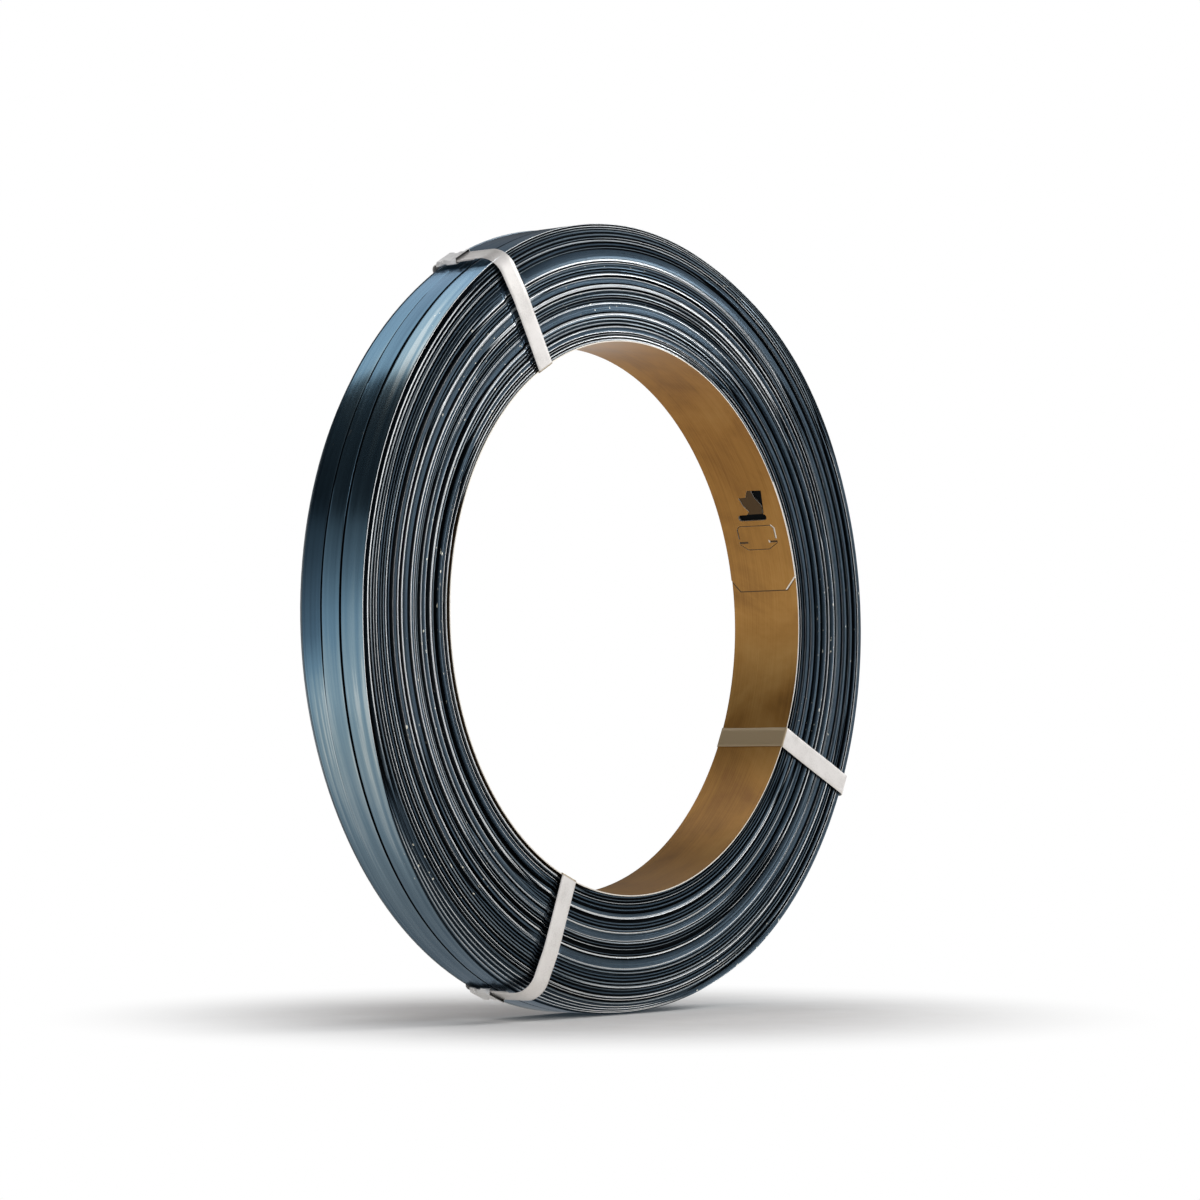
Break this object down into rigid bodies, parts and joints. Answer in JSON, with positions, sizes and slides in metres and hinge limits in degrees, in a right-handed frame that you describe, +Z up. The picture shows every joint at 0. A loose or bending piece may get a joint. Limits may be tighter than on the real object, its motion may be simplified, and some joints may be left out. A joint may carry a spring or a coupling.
{
  "type": "roll of steel strapping",
  "caption": "Coil of blued steel strapping wound in side-by-side lanes on a lapped sheet-steel hoop, bound by flat metal ties with crimped seals.",
  "frame": {"origin": "middle of the bounding box's bottom, under the roll's centre, where its rim meets the ground", "axes": "+Z up; the roll's axis runs along Y, its front end with the open side of the bore faces -Y"},
  "size_m": [0.58, 0.0632, 0.58],
  "materials": {
    "blued_strap": "blued and waxed, semi-gloss",
    "core_sheet": "satin sheet steel with a tan film",
    "tie_strap": "pale zinc-coated steel, satin",
    "tie_seal": "pale zinc-coated steel, satin"
  },
  "bodies": {
    "root": {"strap_coil": "blued_strap", "core_ring": "core_sheet", "tie_strap_1": "tie_strap", "tie_strap_2": "tie_strap", "tie_strap_3": "tie_strap", "tie_seal_1": "tie_seal", "tie_seal_2": "tie_seal", "tie_seal_3": "tie_seal"}
  },
  "joints": []
}
